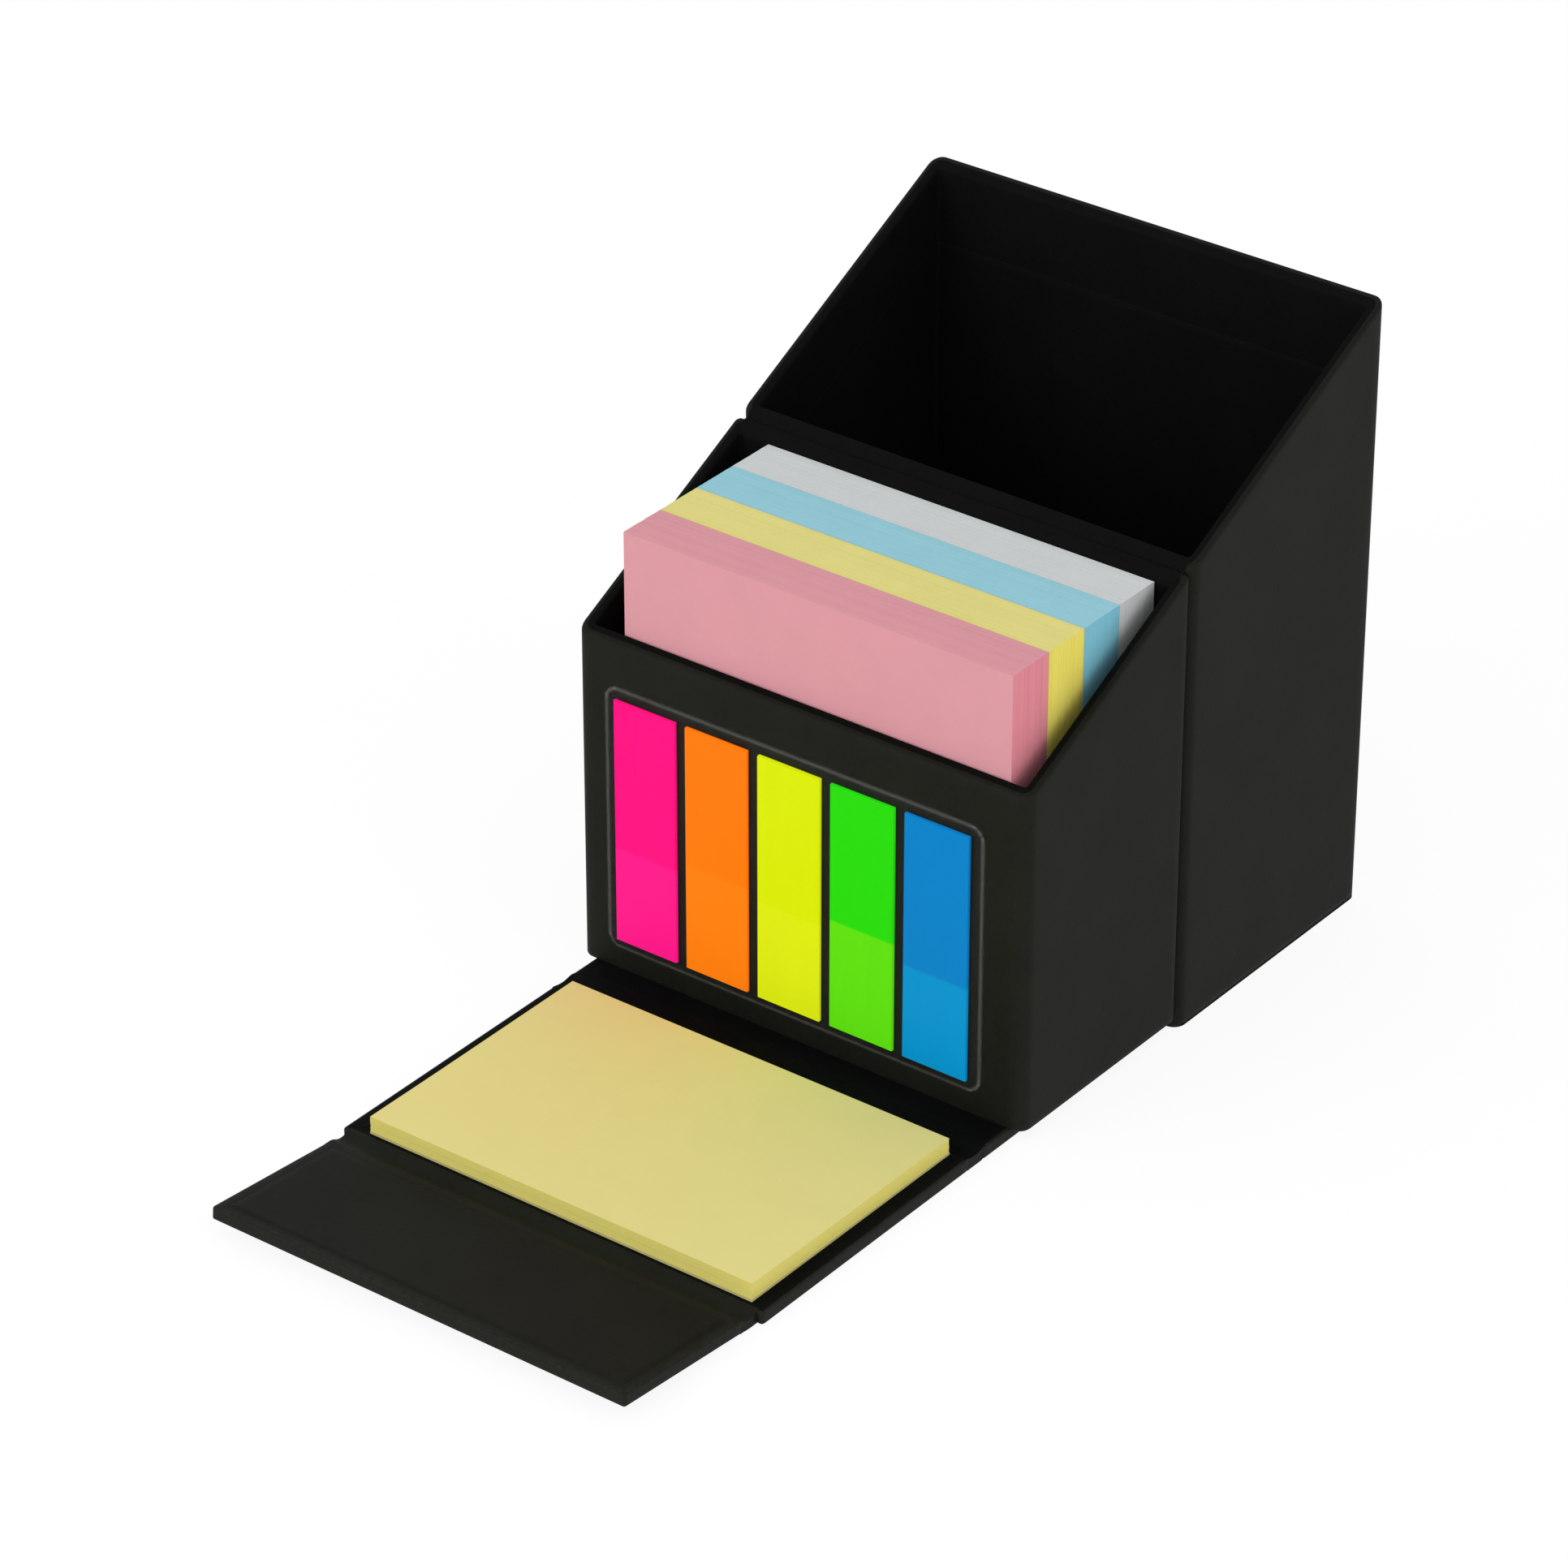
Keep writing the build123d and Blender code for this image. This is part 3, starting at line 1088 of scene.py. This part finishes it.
class SheetStackTree:
    """Geometry nodes that lay sheets in a stack, each a little out of line with the next."""

    WANDER_STEP = 0.07
    WANDER_SEED = 3.7
    TONE_SEED = 11.0

    def __init__(self) -> None:
        """Builds the tree."""
        self.tree = bpy.data.node_groups.new("sheet stack", "GeometryNodeTree")
        panel = self.tree.interface
        panel.new_socket("Geometry", in_out="OUTPUT", socket_type="NodeSocketGeometry")
        self.sockets = {}
        for choice in StackInput:
            label, kind = choice.value
            self.sockets[choice] = panel.new_socket(label, in_out="INPUT", socket_type=kind).identifier
        graph = Graph(self.tree)
        given = graph.node("NodeGroupInput")
        value = {choice: graph.wire(given, choice.value[0]) for choice in StackInput}
        stack = graph.node("GeometryNodeInstanceOnPoints", None, {
            "Points": self.places(graph, value), "Instance": self.sheet(graph, value)})
        tone = graph.wire(graph.node("FunctionNodeRandomValue", {"data_type": "FLOAT"}, {
            2: -1.0, 3: 1.0, "Seed": value[StackInput.SEED] + self.TONE_SEED}), 1)
        toned = self.stored(graph, "tone", "INSTANCE", graph.wire(stack), tone)
        real = graph.node("GeometryNodeRealizeInstances", None, {"Geometry": toned})
        curled = graph.node("GeometryNodeSetPosition", None, {
            "Geometry": graph.wire(real), "Offset": self.lifted(graph, value)})
        dressed = graph.node("GeometryNodeSetMaterial", None, {
            "Geometry": graph.wire(curled), "Material": value[StackInput.PAPER]})
        graph.node("NodeGroupOutput", None, {0: graph.wire(dressed)})

    def stored(self, graph: Graph, name: str, domain: str, shape: Wire, number: Wire) -> Wire:
        """A shape that carries a number by name.

        Args:
            graph: The tree's graph.
            name: The number's name.
            domain: What has a number of its own: each face, or each sheet.
            shape: The shape.
            number: The number.

        Returns:
            The shape with the number.
        """
        settings = {"data_type": "FLOAT", "domain": domain}
        inputs = {"Geometry": shape, "Name": name, "Value": number}
        return graph.wire(graph.node("GeometryNodeStoreNamedAttribute", settings, inputs))

    def places(self, graph: Graph, value: dict[StackInput, Wire]) -> Wire:
        """The sheets' places, in line but for a stray of each sheet and a slow drift.

        Args:
            graph: The tree's graph.
            value: Its inputs.

        Returns:
            One point for each sheet.
        """
        line = graph.node("GeometryNodeMeshLine", None, {
            "Count": value[StackInput.COUNT], "Start Location": value[StackInput.FIRST],
            "Offset": value[StackInput.STEP]})
        back = graph.vector("SCALE", {0: value[StackInput.STRAY], "Scale": -1.0})
        stray = graph.wire(graph.node("FunctionNodeRandomValue", {"data_type": "FLOAT_VECTOR"}, {
            0: back, 1: value[StackInput.STRAY], "Seed": value[StackInput.SEED]}))
        index = graph.wire(graph.node("GeometryNodeInputIndex"))
        wander = graph.wire(graph.node("ShaderNodeTexNoise", {"noise_dimensions": "1D"}, {
            "W": index * self.WANDER_STEP + value[StackInput.SEED] * self.WANDER_SEED, "Scale": 1.0, "Detail": 1.0}))
        drift = graph.vector("SCALE", {0: value[StackInput.DRIFT], "Scale": wander * 2.0 - 1.0})
        offset = graph.vector("ADD", {0: stray, 1: drift})
        return graph.wire(graph.node("GeometryNodeSetPosition", None, {"Geometry": graph.wire(line), "Offset": offset}))

    def sheet(self, graph: Graph, value: dict[StackInput, Wire]) -> Wire:
        """One sheet, with its cut sides marked for the painted side shading.

        Args:
            graph: The tree's graph.
            value: Its inputs.

        Returns:
            The sheet about the origin.
        """
        block = graph.node("GeometryNodeMeshCube", None, {
            "Size": value[StackInput.SHEET], "Vertices X": value[StackInput.CELLS],
            "Vertices Y": value[StackInput.CELLS], "Vertices Z": 2})
        normal = graph.wire(graph.node("GeometryNodeInputNormal"))
        through = graph.vector("NORMALIZE", {0: value[StackInput.STEP]})
        facing = graph.vector("DOT_PRODUCT", {0: normal, 1: through}, "Value")
        upright = graph.axes(normal)[2]
        # Marks the cut sides, which the paper colours with painted shading.
        painted_side_shade = 1.0 - (facing * facing).peak(upright * upright)
        return self.stored(graph, "painted_side_shade", "FACE", graph.wire(block), painted_side_shade)

    def lifted(self, graph: Graph, value: dict[StackInput, Wire]) -> Wire:
        """Offset that lifts the top sheets' front corners.

        Args:
            graph: The tree's graph.
            value: Its inputs.

        Returns:
            The offset of each point.
        """
        place = graph.axes(graph.wire(graph.node("GeometryNodeInputPosition")))
        first = graph.axes(value[StackInput.FIRST])
        sheet = graph.axes(value[StackInput.SHEET])
        step = graph.axes(value[StackInput.STEP])
        front = ((first[1] - place[1]) / sheet[1] + 0.5).ramp(0.45, 1.05)
        side = ((place[0] - first[0]) / sheet[0]).ramp(-0.5, 0.5)
        up = ((place[2] - first[2]) / (step[2] * value[StackInput.COUNT] + 1e-6)).ramp(0.0, 1.0)
        rise = value[StackInput.LIFT] * front * front * (0.35 + side * 0.65) * up ** 5.0
        return graph.wire(graph.node("ShaderNodeCombineXYZ", None, {"Z": rise}))

    def lay(self, name: str, inputs: dict[StackInput, Any], finish: Finish) -> bpy.types.Object:
        """Lays a stack.

        Args:
            name: The piece's name.
            inputs: Values of the tree's inputs.
            finish: What the sheets are made of.

        Returns:
            The stack as a plain mesh.
        """
        holder = put_in_scene(name + "_holder", bpy.data.meshes.new(name + "_holder"))
        modifier = holder.modifiers.new("stack", "NODES")
        modifier.node_group = self.tree
        for choice, number in {**inputs, StackInput.PAPER: finish.material()}.items():
            modifier[self.sockets[choice]] = number
        depsgraph = bpy.context.evaluated_depsgraph_get()
        laid = holder.evaluated_get(depsgraph)
        mesh = bpy.data.meshes.new_from_object(laid, preserve_all_data_layers=True, depsgraph=depsgraph)
        holder.modifiers.remove(modifier)
        bpy.data.objects.remove(holder)
        mesh.name = name
        mesh.materials.clear()
        mesh.materials.append(finish.material())
        return put_in_scene(name, mesh)


class Axis(Enum):
    """The axis along which sheets lie one on the other."""

    Y = 1
    Z = 2


@dataclass
class Stack:
    """A pad or a set of flags: the solid it stands for, and how its sheets lie."""

    node: str
    body: str
    slot: str
    finish: Finish
    sheets: int
    axis: Axis
    seed: int
    stray: tuple[float, float, float]
    drift: tuple[float, float, float] = (0.0, 0.0, 0.0)
    cells: int = 2
    lift: float = 0.0
    fill: float = 0.985

    def build(self, tree: SheetStackTree) -> None:
        """Lays the sheets in the solid's place.

        Args:
            tree: The nodes that lay them.
        """
        low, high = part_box(self.node)
        size, through = high - low, self.axis.value
        pitch = size[through] / self.sheets
        step = Vector((0.0, 0.0, 0.0))
        step[through] = pitch
        sheet = size.copy()
        for axis in range(3):
            sheet[axis] -= 2 * (self.stray[axis] + self.drift[axis])
        sheet[through] = pitch * self.fill
        first = (low + high) / 2
        first[through] = low[through] + pitch / 2
        made = tree.lay(self.node + "_stack", {
            StackInput.SHEET: tuple(sheet), StackInput.FIRST: tuple(first), StackInput.STEP: tuple(step),
            StackInput.STRAY: self.stray, StackInput.DRIFT: self.drift, StackInput.COUNT: self.sheets,
            StackInput.CELLS: self.cells, StackInput.SEED: self.seed, StackInput.LIFT: self.lift,
        }, self.finish)
        seat(made, self.body, self.slot, self.node)


@dataclass
class FlagSleeve:
    """The clear sleeve over the flags: a thin pane that dips between them, with a welded rim."""

    radius: float = 3.0 * MM
    cell: float = 0.5 * MM
    weld_width: float = 0.65 * MM
    weld_height: float = 0.16 * MM
    seam_gap: float = 0.1 * MM
    dip: float = 0.22 * MM
    slope_width: float = 1.5 * MM
    thickness: float = 0.1 * MM
    sharp: float = 60.0
    low: Vector = field(default_factory=Vector, init=False)
    high: Vector = field(default_factory=Vector, init=False)
    flag_spans: list[tuple[float, float]] = field(default_factory=list, init=False)
    flags_low: float = field(default=0.0, init=False)
    flags_high: float = field(default=0.0, init=False)
    back: float = field(default=0.0, init=False)

    def build(self) -> None:
        """Makes the pane and dresses the film behind the flags."""
        self.low, self.high = low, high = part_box("flag_sleeve_front")
        spans = [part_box("flag_" + colour) for colour in FLAGS]
        self.flag_spans = [(a.x, b.x) for a, b in spans]
        self.flags_low, self.flags_high = spans[0][0].z, spans[0][1].z
        self.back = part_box("flag_sleeve_back")[0].y
        wide = int(round((high.x - low.x) / self.cell))
        tall = int(round((high.z - low.z) / self.cell))
        outer, inner, weld = [], [], []
        for row in range(tall + 1):
            for column in range(wide + 1):
                x, z = self.in_outline(low.x + (high.x - low.x) * column / wide,
                                       low.z + (high.z - low.z) * row / tall)
                # The pale weld is partly its own milkiness, partly a painted highlight of the sleeve's edge.
                y, pale_weld = self.depth(x, z)
                outer.append((x, y, z))
                inner.append((x, min(y + self.thickness, self.back), z))
                weld.append(pale_weld)
        faces = self.faces(wide, tall)
        pane = finish_mesh("flag_sleeve_pane", outer + inner, faces, CLEAR, {"weld": weld + weld}, self.sharp)
        seat(pane, "memo_box", "clear_film", "flag_sleeve_front")
        wear_node("flag_sleeve_back", CLEAR)

    def faces(self, wide: int, tall: int) -> Faces:
        """Faces of a pane of two layers of points.

        Args:
            wide: Cells across it.
            tall: Cells up it.

        Returns:
            Faces of both layers, and of the edge all round.
        """
        line = wide + 1
        count = line * (tall + 1)
        faces = []
        for row in range(tall):
            for column in range(wide):
                a = row * line + column
                faces.append((a, a + 1, a + line + 1, a + line))
                faces.append((a + count, a + line + count, a + line + 1 + count, a + 1 + count))
        edge = [*range(line), *(row * line + wide for row in range(1, tall + 1)),
                *(tall * line + column for column in range(wide - 1, -1, -1)),
                *(row * line for row in range(tall - 1, 0, -1))]
        for here, after in zip(edge, edge[1:] + edge[:1]):
            faces.append((here, after, after + count, here + count))
        return faces

    def corner_middle(self, x: float, z: float) -> tuple[float, float]:
        """The nearest point of the sleeve without its rounded margin."""
        return (min(max(x, self.low.x + self.radius), self.high.x - self.radius),
                min(max(z, self.low.z + self.radius), self.high.z - self.radius))

    def in_outline(self, x: float, z: float) -> tuple[float, float]:
        """A point of the grid, drawn in to the rounded corner where it lies outside it.

        Args:
            x: Place across the sleeve.
            z: Height on the sleeve.

        Returns:
            The point's place and height.
        """
        mid_x, mid_z = self.corner_middle(x, z)
        away = math.hypot(x - mid_x, z - mid_z)
        if away <= self.radius or mid_x == x or mid_z == z:
            return x, z
        return mid_x + (x - mid_x) * self.radius / away, mid_z + (z - mid_z) * self.radius / away

    def inside(self, x: float, z: float) -> float:
        """Distance of a point from the sleeve's outline.

        Args:
            x: Place across the sleeve.
            z: Height on the sleeve.

        Returns:
            The distance.
        """
        mid_x, mid_z = self.corner_middle(x, z)
        if mid_x != x and mid_z != z:
            return self.radius - math.hypot(x - mid_x, z - mid_z)
        return min(x - self.low.x, self.high.x - x, z - self.low.z, self.high.z - z)

    def depth(self, x: float, z: float) -> tuple[float, float]:
        """Where the pane's face lies, and how much of the pale weld veil it carries.

        Args:
            x: Place across the sleeve.
            z: Height on the sleeve.

        Returns:
            Y of the face, and 1 on the weld to 0 on the clear pane.
        """
        def ease(share: float) -> float:
            """Smooth step from 0 to 1."""
            share = min(max(share, 0.0), 1.0)
            return share * share * (3 - 2 * share)

        front = self.low.y
        gap = max(0.0, min(max(a - x, x - b) for a, b in self.flag_spans))
        beyond = max(self.flags_low - z, z - self.flags_high, 0.0)
        over = 1.0 - ease(max(gap, beyond) / self.slope_width)
        low_face = self.back - self.seam_gap - self.thickness
        face = low_face + (front - low_face) * over
        if self.flag_spans[0][0] < x < self.flag_spans[-1][1] and not beyond:
            face = front + self.dip * ease(gap / (0.5 * self.slope_width))
        half_weld = 0.5 * self.weld_width
        bead = ease(1.0 - abs(self.inside(x, z) - half_weld) / half_weld)
        return face - self.weld_height * bead, bead


@dataclass(frozen=True)
class Lamp:
    """A soft square lamp: where it hangs, what it points at, its side and its power in watts."""

    name: str
    place: Point
    aim: Point
    size: float
    power: float

    def build(self) -> None:
        """Hangs the lamp."""
        data = bpy.data.lights.new(self.name, "AREA")
        data.shape, data.size, data.energy = "SQUARE", self.size, self.power
        lamp = put_in_scene(self.name, data)
        lamp.location = self.place
        lamp.rotation_euler = (Vector(self.aim) - Vector(self.place)).to_track_quat("-Z", "Y").to_euler()


@dataclass
class Studio:
    """Floor, air, lamps and the camera at the photograph's angle."""

    camera_place: Point = (0.53662, -0.70416, 0.57243)
    azimuth: float = math.radians(37.458)
    elevation: float = math.radians(30.561)
    lens: float = 152.05
    sensor: float = 36.0
    clip: tuple[float, float] = (0.01, 20.0)
    floor_drop: float = 0.02 * MM
    floor_half: float = 3.0
    floor_seen: float = 0.86
    floor_colour: Colour = (0.8, 0.8, 0.8, 1.0)
    floor_level: float = 1.04
    air_level: float = 0.82
    air_seen: float = 1.0
    ceiling_level: float = 0.12
    ceiling_edge: tuple[float, float] = (0.5, 0.9)
    lamps: tuple[Lamp, ...] = (
        Lamp("key lamp", (-0.35, -1.0, 0.6), (0.0, 0.0, 0.03), 0.8, 4.5),
        Lamp("side lamp", (1.1, -0.1, 0.5), (0.0, 0.02, 0.04), 0.8, 2.4),
    )

    def build(self) -> None:
        """Sets up everything that isn't part of the object."""
        bpy.context.scene.view_settings.view_transform = "Standard"
        self.add_camera()
        self.add_floor()
        self.add_air()
        for lamp in self.lamps:
            lamp.build()

    def add_camera(self) -> None:
        """Adds the camera."""
        data = bpy.data.cameras.new("photo camera")
        data.lens, data.sensor_width = self.lens, self.sensor
        data.clip_start, data.clip_end = self.clip
        camera = put_in_scene("photo camera", data)
        back = Vector((math.sin(self.azimuth) * math.cos(self.elevation),
                       -math.cos(self.azimuth) * math.cos(self.elevation), math.sin(self.elevation)))
        camera.location = self.camera_place
        camera.rotation_euler = (-back).to_track_quat("-Z", "Y").to_euler()
        bpy.context.scene.camera = camera

    def seen_rays(self, graph: Graph) -> Wire:
        """Marks the rays that show the background: the camera's, reflected and refracted ones.

        Args:
            graph: The graph of the floor or the air.

        Returns:
            1 for those rays and 0 for others.
        """
        path = graph.node("ShaderNodeLightPath")
        seen = graph.wire(path, "Is Camera Ray").peak(graph.wire(path, "Is Glossy Ray"))
        return seen.peak(graph.wire(path, "Is Transmission Ray"))

    def add_floor(self) -> None:
        """Adds a pale floor that shows white and keeps the shadow."""
        mesh = bpy.data.meshes.new("floor")
        half, z = self.floor_half, -self.floor_drop
        corners = [(-half, -half, z), (half, -half, z), (half, half, z), (-half, half, z)]
        mesh.from_pydata(corners, [], [(0, 1, 2, 3)])
        floor = put_in_scene("floor", mesh)
        material = bpy.data.materials.new("floor")
        material.use_nodes = True
        graph = Graph(material.node_tree)
        matt = graph.shader("ShaderNodeBsdfDiffuse", {"Color": self.floor_colour})
        white = graph.shader("ShaderNodeEmission", {"Color": WHITE, "Strength": self.floor_level})
        graph.surface(graph.mix_shader(self.seen_rays(graph) * self.floor_seen, matt, white))
        mesh.materials.append(material)

    def add_air(self) -> None:
        """Adds even light from all round, which shows white, and a dim ceiling in reflections."""
        world = bpy.data.worlds.new("studio air")
        bpy.context.scene.world = world
        world.use_nodes = True
        graph = Graph(world.node_tree)

        def air(level: float) -> Wire:
            """White light of a level."""
            return graph.shader("ShaderNodeBackground", {"Color": WHITE, "Strength": level})

        up = graph.axes(graph.wire(graph.node("ShaderNodeTexCoord"), "Generated"))[2]
        mirrored = graph.wire(graph.node("ShaderNodeLightPath"), "Is Glossy Ray") * up.ramp(*self.ceiling_edge)
        room = graph.mix_shader(mirrored, air(self.air_seen), air(self.ceiling_level))
        mixed = graph.mix_shader(self.seen_rays(graph), air(self.air_level), room)
        graph.node("ShaderNodeOutputWorld", None, {"Surface": mixed})


# The lid band and the cover's fold wear the darker lining paper on top: painted shade.
LID_BAND = FoldPaper(
    name="lid_hinge_band", bodies=("memo_box", "pen_holder"),
    nodes=("lid_hinge_leaf_memo_box", "lid_hinge_leaf_pen_holder"),
    knots=tuple((y * MM, RIM.height(y * MM, up * MM)) for y, up in (
        (39.12, -8.0), (39.12, -6.0), (39.12, -3.0), (39.13, -1.1), (39.28, -0.42), (39.7, 0.08),
        (40.3, 0.2), (40.9, 0.17), (41.35, 0.0), (41.6, -0.17), (41.8, -0.24), (42.0, -0.17), (42.25, 0.0),
        (42.7, 0.17), (43.3, 0.2), (43.9, 0.08), (44.32, -0.42), (44.48, -1.1), (44.49, -3.0), (44.49, -6.0),
        (44.49, -8.0))),
    half_widths=(42.4 * MM, 40.8 * MM), bend=(41.5 * MM, 42.1 * MM), thickness=0.15 * MM,
    inner_from=0.8 * MM, inside=SHADED_LINING)
COVER_FOLD = FoldPaper(
    name="cover_hinge_fold", bodies=("memo_box", "cover_panel"), nodes=("cover_hinge_paper",),
    knots=tuple((y * MM, z * MM) for y, z in (
        (-5.6, 2.1), (-6.4, 2.22), (-6.95, 2.18), (-7.5, 2.04), (-8.2, 1.93), (-8.9, 1.88), (-9.6, 1.93),
        (-10.3, 2.06), (-10.85, 2.18), (-11.2, 2.22), (-11.5, 2.1))),
    under=tuple((y * MM, z * MM) for y, z in (
        (-5.7, 1.9), (-6.4, 1.0), (-6.95, 0.02), (-7.5, 0.01), (-8.2, 0.01), (-8.9, 0.01), (-9.6, 0.01),
        (-10.3, 0.01), (-10.85, 0.02), (-11.1, 1.0), (-11.4, 1.9))),
    half_widths=(41.15 * MM, 41.15 * MM), bend=(-7.0 * MM, -10.8 * MM), inside=SHADED_LINING)
FLAP_FOLD = FoldPaper(
    name="flap_hinge_fold", bodies=("cover_panel", "cover_flap"), nodes=("flap_hinge_paper",),
    knots=tuple((y * MM, z * MM) for y, z in (
        (-61.7, 2.1), (-62.3, 2.22), (-62.8, 2.17), (-63.3, 1.97), (-63.9, 1.76), (-64.6, 1.68), (-65.3, 1.79),
        (-65.9, 2.05), (-66.4, 2.32), (-66.9, 2.45), (-67.6, 2.51), (-68.6, 2.5))),
    under=tuple((y * MM, z * MM) for y, z in (
        (-61.9, 1.9), (-62.3, 1.0), (-62.8, 0.02), (-63.3, 0.01), (-63.9, 0.02), (-64.6, 0.06), (-65.3, 0.11),
        (-65.9, 0.17), (-66.4, 0.21), (-66.9, 0.26), (-67.4, 1.2), (-68.3, 2.3))),
    half_widths=(40.15 * MM, 40.15 * MM), bend=(-62.9 * MM, -66.6 * MM))


def memo_pads() -> list[Stack]:
    """The four loose pads that stand on edge."""
    return [Stack(f"memo_pad_{colour}", f"memo_pad_{colour}", f"{colour}_paper", finish, sheets=74, axis=Axis.Y,
                  seed=seed, stray=(0.015 * MM, 0.0, 0.01 * MM), drift=(0.07 * MM, 0.0, 0.02 * MM))
            for seed, (colour, finish) in enumerate(PADS.items(), 3)]


def sticky_pad() -> Stack:
    """The pad of sticky notes that lies on the cover."""
    return Stack("sticky_pad_sheets", "cover_panel", "sticky_paper", STICKY, sheets=26, axis=Axis.Z, seed=19,
                 stray=(0.03 * MM, 0.03 * MM, 0.0), drift=(0.05 * MM, 0.05 * MM, 0.0), cells=13, lift=0.35 * MM)


def film_flags() -> list[Stack]:
    """The five sets of film flags behind the sleeve."""
    return [Stack(f"flag_{colour}", "memo_box", f"{colour}_film", finish, sheets=6, axis=Axis.Y, seed=seed,
                  stray=(0.05 * MM, 0.0, 0.1 * MM))
            for seed, (colour, finish) in enumerate(FLAGS.items(), 31)]


def main() -> None:
    """Builds the set and lights it."""
    logging.basicConfig(level=logging.INFO, format="%(name)s: %(message)s")
    Studio().build()
    WrappedBox("memo_box", corner_radii=(SOFT_CORNER, TIGHT_CORNER)).build()
    WrappedBox("pen_holder").build()
    wear_node("pen_holder_bottom_paper", WRAP)
    # The base and the cover panel wear the darker lining paper on top: painted shade near the box. The flap keeps the
    # wrap.
    CoverBoard("base", "memo_box", inside=SHADED_LINING).build()
    CoverBoard("cover_panel", "cover_panel", inside=SHADED_LINING).build()
    CoverBoard("cover_flap", "cover_flap", tilt=math.radians(5.0), fold=(-64.1 * MM, 0.2 * MM)).build()
    for fold in (LID_BAND, COVER_FOLD, FLAP_FOLD):
        fold.build()
    tree = SheetStackTree()
    for stack in (*memo_pads(), sticky_pad(), *film_flags()):
        stack.build(tree)
    # Painted shade: the card's darker colour darkens the foot of the sticky pad.
    wear_node("sticky_pad_card", SHADED_CARD)
    FlagSleeve().build()


if __name__ == "__main__":
    main()
